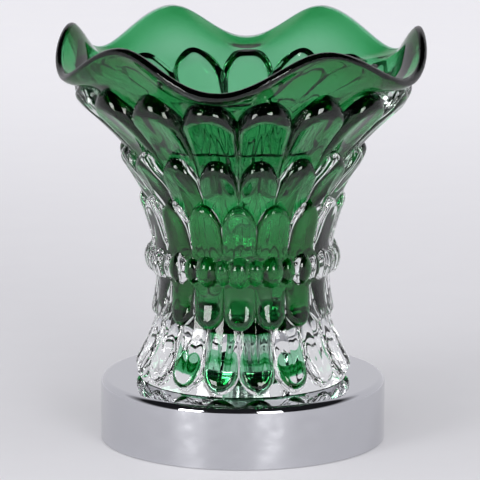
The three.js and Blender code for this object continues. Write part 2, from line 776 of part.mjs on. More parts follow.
// Capsule bulb, measured from the top of the holder
function buildBulb() {
  const bulb = new THREE.Group();
  bulb.position.z = holderTop + fitGap;
  addPiece(bulb, 'bulb_pinch', box(pinchWidth, pinchThickness, pinchHeight), clearGlass);

  const domeStart = pinchHeight + envelopeHeight - envelopeRadius;
  const dome = (radius) => (share) => {
    const [across, up] = onCircle(radius, (share * Math.PI) / 2);
    return [across, domeStart + up];
  };
  const inner = envelopeRadius - envelopeWall;
  const envelope = turned([
    [envelopeRadius, pinchHeight],
    ...thirdShares.map(dome(envelopeRadius)),
    ...thirdShares.map(dome(inner)).reverse(),
    [inner, pinchHeight],
  ], smallSteps);
  addPiece(bulb, 'bulb_envelope', envelope, clearGlass);

  const legFoot = pinchHeight + fitGap;
  const legTop = pinchHeight + filamentHeight;
  const half = filamentSpan / 2;
  const filament = wireAlong([
    [-half, 0, legFoot],
    [-half, 0, legTop - half],
    [0, 0, legTop],
    [half, 0, legTop - half],
    [half, 0, legFoot],
  ], filamentRadius);
  addPiece(bulb, 'bulb_filament', filament, tungsten);

  const outside = oblong(pinLength, pinWidth);
  const inside = oblong(pinLength - 2 * pinWire, pinWidth - 2 * pinWire);
  const loop = prism(outside, [inside], pinWire).translate(-pinLength / 2, 0, -pinWire / 2);
  loop.rotateX(Math.PI / 2).rotateY(-Math.PI / 2);
  [-pinSpacing / 2, pinSpacing / 2].forEach((x, i) => addPiece(bulb, `bulb_pin_${i + 1}`, loop, steel, x));
  return bulb;
}

// Touch dimmer lying on the bottom cover, with its lid and board
function buildDimmer() {
  const dimmer = new THREE.Group();
  dimmer.position.set(-dimmerOffset, 0, coverTop);
  const hollowWidth = dimmerWidth - 2 * dimmerWall;
  const hollowLength = dimmerLength - 2 * dimmerWall;
  const hollow = box(hollowWidth, hollowLength, dimmerHeight).translate(0, 0, dimmerWall);
  const exits = Object.values(exitShares).map((share) => {
    const hole = rod(wireRadius + fitGap, dimmerWidth).rotateY(Math.PI / 2);
    return hole.translate(0, share * dimmerLength, wireHeight - coverTop);
  });
  const tray = cut(box(dimmerWidth, dimmerLength, dimmerHeight), [hollow, ...exits]);
  addPiece(dimmer, 'dimmer_case', tray, blackPlastic);
  const lid = box(dimmerWidth, dimmerLength, dimmerWall);
  addPiece(dimmer, 'dimmer_lid', lid, blackPlastic, 0, 0, dimmerHeight);

  const boardWidth = hollowWidth - 2 * fitGap;
  const boardLength = hollowLength - 2 * fitGap;
  const board = box(boardWidth, boardLength, boardThickness);
  addPiece(dimmer, 'dimmer_board', board, boardGreen, 0, 0, dimmerWall);
  const boardTop = dimmerWall + boardThickness;
  const columnX = boardWidth / 4;
  const rowY = boardLength / 4;
  const coil = turned([
    [coilRadius - coilThickness, 0],
    [coilRadius, 0],
    [coilRadius, coilThickness],
    [coilRadius - coilThickness, coilThickness],
  ], smallSteps);
  const parts = [
    ['dimmer_chip', box(chipWidth, chipLength, chipHeight), blackPlastic, columnX, rowY],
    ['dimmer_triac', box(triacWidth, triacLength, triacHeight), blackPlastic, -columnX, rowY],
    ['dimmer_capacitor', box(capacitorWidth, capacitorLength, capacitorHeight), yellowSleeve, columnX, -rowY],
    ['dimmer_coil', coil, copper, -columnX, -rowY],
  ];
  parts.forEach(([name, geometry, finish, x, y]) => addPiece(dimmer, name, geometry, finish, x, y, boardTop));
  return dimmer;
}

// Terminal block with its bores and clamp screws
function buildTerminalBlock() {
  const terminal = new THREE.Group();
  terminal.position.set(blockX, blockY, coverTop);
  const boreHeight = wireHeight - coverTop;
  const poles = [-poleSpacing / 2, poleSpacing / 2];
  const clampRows = [-clampScrewSpacing / 2, clampScrewSpacing / 2];
  const clampPlaces = poles.flatMap((x) => clampRows.map((y) => [x, y]));
  const bores = poles.map((x) => {
    const bore = rod(poleBore, blockLength + 2 * overcut).rotateX(-Math.PI / 2);
    return bore.translate(x, -blockLength / 2 - overcut, boreHeight);
  });
  const screwHole = clampScrewRadius + fitGap;
  const wells = clampPlaces.map(([x, y]) => rod(screwHole, blockHeight).translate(x, y, boreHeight));
  const block = cut(box(blockWidth, blockLength, blockHeight), [...bores, ...wells]);
  addPiece(terminal, 'terminal_block', block, whitePlastic);
  const screwBottom = boreHeight + wireRadius + fitGap;
  const screw = rod(clampScrewRadius, blockHeight - clampScrewSink - screwBottom);
  clampPlaces.forEach(([x, y], i) => {
    addPiece(terminal, `terminal_screw_${i + 1}`, screw, brass, x, y, screwBottom);
  });
  return terminal;
}

// Stud under the chrome top, with the lug that joins the touch wire to the base
function buildTouchStud() {
  const touch = new THREE.Group();
  touch.position.set(studX, studY, topUnderside);
  addPiece(touch, 'touch_stud', rod(studRadius, studLength), steel, 0, 0, -studLength);
  const ring = toSolid(rod(lugRadius, lugThickness));
  const strip = box(lugTongueLength, lugTongueWidth, lugThickness).translate(-lugTongueLength / 2, 0, 0);
  const hole = rod(studRadius + fitGap, lugThickness + 2 * overcut).translate(0, 0, -overcut);
  const lug = cut(fromSolid(ring.add(toSolid(strip))), [hole]);
  addPiece(touch, 'touch_lug', lug, brass, 0, 0, -lugThickness);
  const nut = prism(hexagon(studNutWidth), [circle(studRadius + fitGap, smallSteps)], studNutHeight);
  addPiece(touch, 'touch_nut', nut, steel, 0, 0, -lugThickness - studNutHeight);
  return touch;
}

// Wires between the terminal block, the dimmer, the bulb holder and the touch lug
function buildWires() {
  const wires = new THREE.Group();
  const caseFace = -dimmerOffset + dimmerWidth / 2;
  const blockFace = blockY - blockLength / 2;
  const liveX = blockX - poleSpacing / 2;
  const neutralX = blockX + poleSpacing / 2;
  const leaveCase = (share) => [
    [caseFace - wireEntry, share * dimmerLength, wireHeight],
    [caseFace + wireLead, share * dimmerLength, wireHeight],
  ];
  const enterPole = (x) => [
    [x, blockFace - wireLead, wireHeight],
    [x, blockFace + wireEntry, wireHeight],
  ];
  const liveBend = [0, (exitShares.live * dimmerLength + blockFace) / 2, wireHeight];
  const live = [...leaveCase(exitShares.live), liveBend, ...enterPole(liveX)];
  const neutralBends = [[liveX / 2, 0, wireHeight], [liveX, neutralBendY, wireHeight]];
  const neutral = [...leaveCase(exitShares.neutral), ...neutralBends, ...enterPole(neutralX)];
  addPiece(wires, 'live_wire', wireAlong(live), brownSleeve);
  addPiece(wires, 'neutral_wire', wireAlong(neutral), blueSleeve);

  const contactFoot = contactBottom - fitGap;
  const tubeBottom = topUnderside - tubeBelowTop;
  const insideTube = 2 * wireRadius;
  const lampWire = (share, side) => [
    ...leaveCase(share),
    [side * insideTube, 0, tubeBottom],
    [side * insideTube, 0, (tubeBottom + plateBottom) / 2],
    [side * insideTube, 0, plateBottom],
    [(side * pinSpacing) / 2, 0, contactFoot],
  ];
  addPiece(wires, 'lamp_wire_1', wireAlong(lampWire(exitShares.lampOne, -1)), whiteSleeve);
  addPiece(wires, 'lamp_wire_2', wireAlong(lampWire(exitShares.lampTwo, 1)), whiteSleeve);

  const lugEnd = [studX - lugTongueLength - fitGap, studY, topUnderside - wireRadius - fitGap];
  const touchTurn = [studX - 2 * lugTongueLength, studY, (wireHeight + topUnderside) / 2];
  const touchPath = [...leaveCase(exitShares.touch), touchTurn, lugEnd];
  addPiece(wires, 'touch_wire', wireAlong(touchPath), yellowSleeve);
  return wires;
}

const lamp = new THREE.Group();
lamp.add(buildBase(), buildLampStem(), buildBulb(), buildShade());
lamp.add(buildDimmer(), buildTerminalBlock(), buildTouchStud(), buildWires());

export default lamp;
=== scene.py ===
"""Looks of the electric aroma lamp: fine glass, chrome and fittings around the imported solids.

Sizes are in millimetres, as in the part's source, and are turned into metres where a mesh is made.
"""

import json
import math

import bmesh
import bpy
import numpy as np
from mathutils import Matrix, Vector


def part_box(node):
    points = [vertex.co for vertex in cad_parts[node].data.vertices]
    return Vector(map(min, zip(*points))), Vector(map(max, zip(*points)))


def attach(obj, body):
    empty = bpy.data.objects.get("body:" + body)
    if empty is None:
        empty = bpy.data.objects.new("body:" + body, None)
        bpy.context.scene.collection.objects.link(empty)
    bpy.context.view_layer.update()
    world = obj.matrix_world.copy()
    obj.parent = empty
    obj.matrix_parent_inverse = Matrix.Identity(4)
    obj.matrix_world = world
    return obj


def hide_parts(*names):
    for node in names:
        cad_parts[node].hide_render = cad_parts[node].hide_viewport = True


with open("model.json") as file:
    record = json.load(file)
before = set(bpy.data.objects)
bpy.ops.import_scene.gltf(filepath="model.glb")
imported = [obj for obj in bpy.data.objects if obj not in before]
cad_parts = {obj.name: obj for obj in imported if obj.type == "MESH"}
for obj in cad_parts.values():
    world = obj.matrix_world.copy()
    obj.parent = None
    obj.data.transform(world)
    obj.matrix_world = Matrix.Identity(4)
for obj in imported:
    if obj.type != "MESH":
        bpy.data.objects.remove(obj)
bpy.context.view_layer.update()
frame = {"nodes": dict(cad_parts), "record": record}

MM = 0.001
FULL_TURN = 2 * math.pi
QUARTER_TURN = math.pi / 2

# Radius of the points of a turned profile that lie on its axis
ON_AXIS = 0.01

# Chrome base
BASE_RADIUS = 60
BASE_HEIGHT = 26.5
BASE_EDGE_ROUND = 2.75
BASE_WALL = 1.2
BASE_RIM_LIFT = 0.4
TUBE_HOLE_RADIUS = 5.3
INLET_LEVEL = 11
INLET_HOLE_RADIUS = 5.1
INLET_CUT = 6

# Glass shade: heights of its bands from the chrome up
SKIRT_LIFT = 1
WAIST_LEVEL = SKIRT_LIFT + 25.5
BEAD_LOW_LEVEL = WAIST_LEVEL + 18.3
BEAD_HIGH_LEVEL = BEAD_LOW_LEVEL + 13.4
COLLAR_LEVEL = (BEAD_LOW_LEVEL + BEAD_HIGH_LEVEL) / 2
THROAT_LEVEL = BEAD_HIGH_LEVEL + 22.4
SHOULDER_LEVEL = THROAT_LEVEL + 20.4
MOUTH_LEVEL = SHOULDER_LEVEL + 27.2
LIP_LEVEL = MOUTH_LEVEL + 9

LIP_WALL = 0.9

# Glass shade: level, radius of the valleys between petals, thickness of the clear casing
SHADE_STATIONS = [
    (0, 43.4, None),
    (WAIST_LEVEL, 35, 11),
    (COLLAR_LEVEL, 36.4, 12.4),
    (THROAT_LEVEL, 40.6, 14.2),
    (SHOULDER_LEVEL, 48.9, 8.6),
    (MOUTH_LEVEL, 68.2, 3.4),
    (LIP_LEVEL, 77.9, LIP_WALL),
]
LINING_THICKNESS = 1.8
LOW_LINING = 2.5
FLOOR_LINING = 2
LIP_LINING = 3.3
FUSED_GAP = 0.02

# The foot is solid up to the floor of the bulb chamber, but for a hole and a shallow recess
FOOT_LIFT = 0.25
FOOT_HOLE_RADIUS = 5.6
FOOT_RECESS_RADIUS = 16.6
FOOT_RECESS_DEPTH = 2.6
FOOT_GREEN_RADIUS = 22
CHAMBER_FLOOR = 19
FLOOR_FLAT_RADIUS = 9
FLOOR_ROUND = 10

# (radius, height) of the green's edge, spread over the underside of the foot and up round the hole
FOOT_GREEN_EDGE = [
    (FOOT_GREEN_RADIUS, FOOT_LIFT),
    (FOOT_GREEN_RADIUS, 0.6),
    (17.4, 0.8),
    (16.9, 2.8),
    (10, 2.8),
    (6.4, 3),
    (5.8, 4.4),
    (5.8, 12),
    (6.2, 16.4),
    (7.6, 18.4),
]

# Petals and tongues: arch of the tip, depth of the rounded edge, rise at the tip and at the root,
# and the share of half the width that rounds off to the seam
PETAL_COUNT = 17
ARCH_FULLNESS = 0.85
SKIRT_TONGUE = {"arch": 7, "edge": 5.5, "rise": 4.4, "root": 1, "side": 0.6}
LOWER_TONGUE = {"arch": 6, "edge": 5, "rise": 4.6, "root": 0.8, "side": 0.9}
NECK_PETAL = {"arch": 9, "edge": 4.4, "rise": 4.2, "root": 0.6, "side": 0.6}
MIDDLE_PETAL = {"arch": 10, "edge": 5.6, "rise": 6.4, "root": 0.6, "side": 0.5}
TOP_PETAL = {"arch": 9, "edge": 5.6, "rise": 7.8, "root": 0.6, "side": 0.45}

# Beads round the collar and the ruffle of the lip
LARGE_BEAD = {"width": 9.2, "height": 12.8, "rise": 3.9}
SMALL_BEAD = {"width": 6.6, "height": 10.4, "rise": 2.8}
BEAD_SINK = 1
RUFFLE_LOBES = 6
RUFFLE_RISE = 7.5
RUFFLE_CURL = 3
CURL_SHARPNESS = 2
RUFFLE_START = LIP_LEVEL - 12.5
RUFFLE_TURN = math.radians(-2)
RUFFLE_SPREAD = math.radians(8)
RUFFLE_SKEW = math.radians(-25)

# Soft hollows of the bore behind the petals, as a share of their rise
HOLLOW_SHARE = 0.3

# Facets of the fine meshes
STEPS_PER_HALF_PETAL = 14
STEP_CROWDING = 0.6
EDGE_ROWS = 14
FACE_ROWS = 5
BEAD_ROWS = 26
LIP_ROWS = 8
NOSE_ROWS = 12
BORE_ROWS = 110
FLOOR_ROWS = 20
HOLE_ROWS = 8
LATHE_STEPS = 192
SLOPE_STEP = 0.01
DOUBLED_WITHIN = 1e-7
EMPTY_WITHIN = 1e-8

# Edges that turn by more than these degrees stay sharp
PLAIN_SHARP = 35
GLASS_SHARP = 40
ROUNDED_SHARP = 50
WIRE_SHARP = 60
THREAD_SHARP = 20


# Shape of the shade

def smooth_line(points):
    """A smooth radius at any height through a few (height, radius) points."""
    heights, radii = (np.array(column, float) for column in zip(*points))
    low = np.maximum(np.arange(len(points)) - 1, 0)
    high = np.minimum(np.arange(len(points)) + 1, len(points) - 1)
    slopes = (radii[high] - radii[low]) / (heights[high] - heights[low])

    def line(height):
        i = np.clip(np.searchsorted(heights, height), 1, len(points) - 1)
        span = heights[i] - heights[i - 1]
        t = (height - heights[i - 1]) / span
        start = (1 + 2 * t) * (1 - t) ** 2 * radii[i - 1] + t * (1 - t) ** 2 * span * slopes[i - 1]
        return start + t**2 * (3 - 2 * t) * radii[i] + t**2 * (t - 1) * span * slopes[i]

    return line


valley_line = smooth_line([(level, radius) for level, radius, _ in SHADE_STATIONS])
bore_line = smooth_line([(level, radius - wall) for level, radius, wall in SHADE_STATIONS if wall])


def normal_at(line, height):
    slope = (line(height + SLOPE_STEP) - line(height - SLOPE_STEP)) / (2 * SLOPE_STEP)
    length = np.hypot(1, slope)
    return 1 / length, -slope / length


def proud_point(line, height, rise):
    radial, vertical = normal_at(line, height)
    return line(height) + radial * rise, height + vertical * rise


def smoothstep(value, start, end):
    t = np.clip((value - start) / (end - start), 0, 1)
    return t * t * (3 - 2 * t)


def ruffled(point, height, angle):
    """Moves a point at a height on the shade with the ruffle of the lip."""
    radius, z = point
    turned = angle - RUFFLE_TURN
    wave = -np.cos(RUFFLE_LOBES * (turned - RUFFLE_SPREAD * np.sin(turned + RUFFLE_SKEW)))
    share = smoothstep(height, RUFFLE_START, LIP_LEVEL)
    curl = RUFFLE_CURL * ((1 + wave) / 2) ** CURL_SHARPNESS
    return radius - curl * share, z + RUFFLE_RISE * wave * share


def across_petal(angle, seam_in_front):
    """-1 and 1 on a petal's seams and 0 on its middle."""
    turns = angle / FULL_TURN * PETAL_COUNT + (0.5 if seam_in_front else 0)
    return 2 * (turns - np.floor(turns + 0.5))


def crown(across, petal):
    """A flat face that rounds off to the seams."""
    inside = np.clip((1 - np.abs(across)) / petal["side"], 0, 1)
    return np.sqrt(1 - (1 - inside) ** 2)


def arch_drop(across):
    """How far a tip's round arch has dropped, from 0 on its middle to 1 on its seams."""
    return (1 - np.sqrt(1 - (ARCH_FULLNESS * across) ** 2)) / (1 - math.sqrt(1 - ARCH_FULLNESS**2))


def edge_round(depth, petal):
    inside = np.clip(depth / petal["edge"], 0, 1)
    return np.sqrt(1 - (1 - inside) ** 2)


def blend(a, b, share):
    return a + (b - a) * share


def bead_rise(angle, height, seam_in_front, bead):
    pitch = FULL_TURN / PETAL_COUNT * (valley_line(COLLAR_LEVEL) + BEAD_SINK)
    sideways = across_petal(angle, seam_in_front) * pitch / bead["width"]
    upwards = (height - COLLAR_LEVEL) * 2 / bead["height"]
    left = np.maximum(1 - sideways**2 - upwards**2, 0)
    return BEAD_SINK + bead["rise"] * np.sqrt(left)


def moulded_outside(angle):
    """Rows of (height, rise) of the moulded outside from the foot to the lip, over all angles."""
    on_seam, on_petal = across_petal(angle, True), across_petal(angle, False)
    skirt_edge = SKIRT_LIFT + SKIRT_TONGUE["arch"] * arch_drop(on_seam)
    lower_edge = WAIST_LEVEL + LOWER_TONGUE["arch"] * arch_drop(on_petal)
    neck_edge = THROAT_LEVEL - NECK_PETAL["arch"] * arch_drop(on_petal)
    middle_edge = SHOULDER_LEVEL - MIDDLE_PETAL["arch"] * arch_drop(on_seam)
    top_edge = MOUTH_LEVEL - TOP_PETAL["arch"] * arch_drop(on_seam)
    flat = np.zeros_like(angle)
    rows = [(flat + FOOT_LIFT, flat)]

    # Rows crowd towards the edge, where the surface turns fastest
    edge_shares = np.linspace(0, 1, EDGE_ROWS) ** 2
    face_shares = np.linspace(0, 1, FACE_ROWS + 1)[1:]

    def petal_rows(petal, across, tip, root, neighbour_rise):
        """From the tip's edge to the root, in that order, for a petal that stands or hangs."""
        out = np.sign(root - tip)

        def rise_at(height):
            share = (height - tip) / (root - tip)
            full = blend(petal["rise"], petal["root"], share) * crown(across, petal)
            return blend(neighbour_rise, full, edge_round(np.abs(height - tip), petal))

        edge_end = tip + out * petal["edge"]
        heights = [tip + out * petal["edge"] * share for share in edge_shares]
        heights += [blend(edge_end, root, share) for share in face_shares[:-1]]
        return [(height, rise_at(height)) for height in heights]

    rows += petal_rows(SKIRT_TONGUE, on_seam, skirt_edge, lower_edge, flat)
    rows += petal_rows(LOWER_TONGUE, on_petal, lower_edge, flat + BEAD_LOW_LEVEL,
                       SKIRT_TONGUE["root"] * crown(on_seam, SKIRT_TONGUE))
    for share in np.linspace(0, 1, BEAD_ROWS):
        height = flat + blend(BEAD_LOW_LEVEL, BEAD_HIGH_LEVEL, share)
        large = bead_rise(angle, height, False, LARGE_BEAD)
        small = bead_rise(angle, height, True, SMALL_BEAD)
        rows.append((height, np.maximum(large, small)))
    rows += petal_rows(NECK_PETAL, on_petal, neck_edge, flat + BEAD_HIGH_LEVEL,
                       MIDDLE_PETAL["root"] * crown(on_seam, MIDDLE_PETAL))[::-1]
    rows += petal_rows(MIDDLE_PETAL, on_seam, middle_edge, neck_edge,
                       TOP_PETAL["root"] * crown(on_seam, TOP_PETAL))[::-1]
    rows += petal_rows(TOP_PETAL, on_seam, top_edge, middle_edge, flat)[::-1]
    for share in np.linspace(0, 1, LIP_ROWS + 1)[1:]:
        rows.append((blend(top_edge, LIP_LEVEL, share), flat))
    return rows


def lining_depth(height):
    """The lining is thicker round the bulb, and grows thicker towards the lip."""
    above_floor = smoothstep(height, CHAMBER_FLOOR + FLOOR_ROUND, BEAD_LOW_LEVEL)
    low = blend(FLOOR_LINING, LOW_LINING, above_floor)
    middle = blend(low, LINING_THICKNESS, smoothstep(height, BEAD_HIGH_LEVEL, THROAT_LEVEL))
    return blend(middle, LIP_LINING, smoothstep(height, MOUTH_LEVEL, LIP_LEVEL))


def bore_point(height, angle, depth=0):
    """A point of the bore, which is hollowed softly behind the petals of the two upper rows."""
    radius, z = proud_point(bore_line, height, -depth)
    across = across_petal(angle, True)
    swell = np.cos(across * QUARTER_TURN) ** 2
    upper_rows = [(TOP_PETAL, MOUTH_LEVEL, SHOULDER_LEVEL), (MIDDLE_PETAL, SHOULDER_LEVEL, THROAT_LEVEL)]
    for petal, tip, root in upper_rows:
        edge = tip - petal["arch"] * arch_drop(across)
        shelf = edge - petal["edge"]
        along = smoothstep(height, root, shelf) * (1 - smoothstep(height, shelf, edge))
        radius = radius + HOLLOW_SHARE * petal["rise"] * along * swell
    return ruffled((radius, z), height, angle)


def floor_points(depth):
    """The floor of the bulb chamber, from its flat middle out and up to the wall."""
    top = CHAMBER_FLOOR + FLOOR_ROUND
    across = bore_line(top) - FLOOR_FLAT_RADIUS - depth
    points = []
    for turn in np.linspace(0, QUARTER_TURN, FLOOR_ROWS):
        height = top - (FLOOR_ROUND - depth) * math.cos(turn)
        points.append((FLOOR_FLAT_RADIUS + across * math.sin(turn), height))
    return points


def lip_nose(angle, skin):
    """Points round the nose of the lip, sunk by a skin, from the outside to the inside."""
    radial, vertical = normal_at(valley_line, LIP_LEVEL)
    outside = np.array([valley_line(LIP_LEVEL), LIP_LEVEL])
    inside = np.array(proud_point(bore_line, LIP_LEVEL, -LIP_LINING))
    centre = (outside + inside) / 2
    reach = np.hypot(*(outside - inside)) / 2 - skin
    points = []
    for turn in np.linspace(0, math.pi, NOSE_ROWS):
        across, along = reach * math.cos(turn), reach * math.sin(turn)
        points.append(centre + [radial * across - vertical * along, vertical * across + radial * along])
    return [ruffled(point, LIP_LEVEL, angle) for point in points]


def casing_rows(angle):
    """Rings of the clear casing, and the first and last ring that is fused to the lining."""
    rows = [ruffled(proud_point(valley_line, height, rise), height, angle)
            for height, rise in moulded_outside(angle)]
    rows += lip_nose(angle, 0)[1:]
    fused_start = len(rows) - 1
    rows += lip_nose(angle, LIP_WALL)[::-1]
    levels = np.linspace(LIP_LEVEL, CHAMBER_FLOOR + FLOOR_ROUND, BORE_ROWS)[1:-1]
    rows += [bore_point(level, angle) for level in levels]
    rows += floor_points(0)[::-1] + FOOT_GREEN_EDGE[::-1]
    return rows, fused_start, len(rows) - 1


def lining_rows(angle):
    """Rings of the green lining: its fused outside, the nose of the lip, then its inside down again."""
    levels = np.linspace(CHAMBER_FLOOR + FLOOR_ROUND, LIP_LEVEL, BORE_ROWS)[1:]
    outside = [(radius - FUSED_GAP, height - FUSED_GAP) for radius, height in FOOT_GREEN_EDGE[1:]]
    outside = [(FOOT_GREEN_RADIUS - FUSED_GAP, FOOT_LIFT), *outside, *floor_points(FUSED_GAP)]
    outside += [bore_point(level, angle, FUSED_GAP) for level in levels[:-1]]
    outside += lip_nose(angle, LIP_WALL + FUSED_GAP)
    hole_levels = np.linspace(FOOT_RECESS_DEPTH, CHAMBER_FLOOR + FLOOR_LINING, HOLE_ROWS)
    inside = [(FOOT_RECESS_RADIUS, FOOT_LIFT), (FOOT_RECESS_RADIUS, FOOT_RECESS_DEPTH)]
    inside += [(FOOT_HOLE_RADIUS, level) for level in hole_levels] + floor_points(FLOOR_LINING)
    inside += [bore_point(level, angle, lining_depth(level)) for level in levels]
    return outside + inside[::-1], 0, len(outside)


# Meshes

def grid_mesh(name, points, close_rows):
    """A mesh of quads over points[row, step], closed round the steps and, if asked, over the rows."""
    row_count, step_count, _ = points.shape
    rows = np.arange(row_count if close_rows else row_count - 1)[:, None]
    steps = np.arange(step_count)[None, :]
    after, beside = (rows + 1) % row_count, (steps + 1) % step_count
    corners = [rows * step_count + steps, rows * step_count + beside,
               after * step_count + beside, after * step_count + steps]
    faces = np.stack([np.broadcast_to(c, (len(rows), step_count)) for c in corners], -1).reshape(-1, 4)
    mesh = bpy.data.meshes.new(name)
    mesh.from_pydata((points.reshape(-1, 3) * MM).tolist(), [], faces.tolist())
    return mesh


def ring_points(rows, angle, lift):
    """Points of rings given as (radius, height) over the angles, counted from the front."""
    spread = np.ones_like(angle)
    layers = [np.stack([r * np.sin(angle), -r * np.cos(angle), (z + lift) * spread], -1)
              for r, z in ((radius * spread, height) for radius, height in rows)]
    return np.array(layers)


def shade_smooth(mesh, sharp_degrees):
    mesh.shade_smooth()
    mesh.set_sharp_from_angle(angle=math.radians(sharp_degrees))


def add_piece(name, mesh, body, slot, nodes, sharp_degrees=PLAIN_SHARP):
    """Puts a finished mesh in the scene in place of CAD nodes."""
    mesh.validate()
    shade_smooth(mesh, sharp_degrees)
    piece = bpy.data.objects.new(name, mesh)
    bpy.context.scene.collection.objects.link(piece)
    mesh.materials.append(finishes[slot])
    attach(piece, body)
    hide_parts(*nodes)
    return piece


def clean(mesh):
    """Joins doubled points, drops empty faces and turns the faces outwards."""
    work = bmesh.new()
    work.from_mesh(mesh)
    bmesh.ops.remove_doubles(work, verts=work.verts, dist=DOUBLED_WITHIN)
    bmesh.ops.dissolve_degenerate(work, edges=work.edges, dist=EMPTY_WITHIN)
    bmesh.ops.recalc_face_normals(work, faces=work.faces)
    work.to_mesh(mesh)
    work.free()
    return mesh


def lathe(name, profile, steps=LATHE_STEPS, lift=0):
    """A closed (radius, height) profile turned about Z."""
    angle = np.linspace(0, FULL_TURN, steps, endpoint=False)
    return clean(grid_mesh(name, ring_points(profile, angle, lift), True))


def arc(centre, radius, start, end, count):
    turns = np.radians(np.linspace(start, end, count))
    return [(centre[0] + radius * math.cos(t), centre[1] + radius * math.sin(t)) for t in turns]


# Materials

GLASS_IOR = 1.5
GLASS_RIPPLE = 3e-5
CASING_RIPPLE_SCALE = 60
LINING_RIPPLE_SCALE = 50
CLEAR_TINT = (0.985, 0.995, 0.99, 1)
GREEN_TINT = (0.06, 0.69, 0.35, 1)
GREEN_DENSITY = 1000
NOISE_LOW = 0.3
NOISE_HIGH = 0.7
ROUGHNESS_SPREAD = 0.2
CLOUD_SHARE = 12


def new_material(name):
    material = bpy.data.materials.new(name)
    material.use_nodes = True
    return material, material.node_tree, material.node_tree.nodes["Principled BSDF"]


def noise(tree, scale, detail=3):
    """Noise in the object's own coordinates, in cycles a metre."""
    place = tree.nodes.new("ShaderNodeTexCoord")
    texture = tree.nodes.new("ShaderNodeTexNoise")
    texture.inputs["Scale"].default_value = scale
    texture.inputs["Detail"].default_value = detail
    tree.links.new(place.outputs["Object"], texture.inputs["Vector"])
    return texture.outputs["Fac"]


def ramp(tree, source, low, high):
    """Maps noise to a range of values."""
    node = tree.nodes.new("ShaderNodeMapRange")
    node.inputs["From Min"].default_value = NOISE_LOW
    node.inputs["From Max"].default_value = NOISE_HIGH
    node.inputs["To Min"].default_value = low
    node.inputs["To Max"].default_value = high
    tree.links.new(source, node.inputs["Value"])
    return node.outputs["Result"]


def bump(tree, shader, source, depth):
    """Surface relief from noise, with its depth in metres."""
    node = tree.nodes.new("ShaderNodeBump")
    node.inputs["Strength"].default_value = 1
    node.inputs["Distance"].default_value = depth
    tree.links.new(source, node.inputs["Height"])
    tree.links.new(node.outputs["Normal"], shader.inputs["Normal"])


def grained(name, colour, metallic, roughness, spread=0.12, scale=900, depth=2e-5):
    """A solid finish whose colour, roughness and relief vary with a fine grain."""
    material, tree, shader = new_material(name)
    shader.inputs["Metallic"].default_value = metallic
    grain = noise(tree, scale)
    mix = tree.nodes.new("ShaderNodeMix")
    mix.data_type = "RGBA"
    mix.inputs["A"].default_value = (*[c * (1 - spread) for c in colour], 1)
    mix.inputs["B"].default_value = (*[min(1, c * (1 + spread)) for c in colour], 1)
    tree.links.new(noise(tree, scale / CLOUD_SHARE), mix.inputs["Factor"])
    tree.links.new(mix.outputs["Result"], shader.inputs["Base Color"])
    rough = ramp(tree, grain, roughness * (1 - ROUGHNESS_SPREAD), roughness * (1 + ROUGHNESS_SPREAD))
    tree.links.new(rough, shader.inputs["Roughness"])
    bump(tree, shader, grain, depth)
    return material


def polish(shader, tint):
    """Smooth glass that lets all light through but for a tint."""
    shader.inputs["Base Color"].default_value = tint
    shader.inputs["Roughness"].default_value = 0
    shader.inputs["IOR"].default_value = GLASS_IOR
    shader.inputs["Transmission Weight"].default_value = 1


def clear_glass(name):
    """Fire-polished moulded glass: smooth, with a slow ripple left by the mould."""
    material, tree, shader = new_material(name)
    polish(shader, CLEAR_TINT)
    bump(tree, shader, noise(tree, CASING_RIPPLE_SCALE, 0), GLASS_RIPPLE)
    return material


def fused_face(name):
    """The inside of the casing where it is one with the lining: light goes straight through."""
    material, tree, shader = new_material(name)
    clear = tree.nodes.new("ShaderNodeBsdfTransparent")
    tree.links.new(clear.outputs["BSDF"], tree.nodes["Material Output"].inputs["Surface"])
    tree.nodes.remove(shader)
    return material


def green_glass(name):
    """Green glass with light taken up along its depth, and no bend of light on its fused side."""
    material, tree, shader = new_material(name)
    polish(shader, (1, 1, 1, 1))
    bump(tree, shader, noise(tree, LINING_RIPPLE_SCALE, 0), GLASS_RIPPLE)
    clear = tree.nodes.new("ShaderNodeBsdfTransparent")
    fused = tree.nodes.new("ShaderNodeAttribute")
    fused.attribute_name = "fused"
    mix = tree.nodes.new("ShaderNodeMixShader")
    tree.links.new(fused.outputs["Fac"], mix.inputs["Fac"])
    tree.links.new(shader.outputs["BSDF"], mix.inputs[1])
    tree.links.new(clear.outputs["BSDF"], mix.inputs[2])
    output = tree.nodes["Material Output"]
    tree.links.new(mix.outputs["Shader"], output.inputs["Surface"])
    absorb = tree.nodes.new("ShaderNodeVolumeAbsorption")
    absorb.inputs["Color"].default_value = GREEN_TINT
    absorb.inputs["Density"].default_value = GREEN_DENSITY
    tree.links.new(absorb.outputs["Volume"], output.inputs["Volume"])
    return material


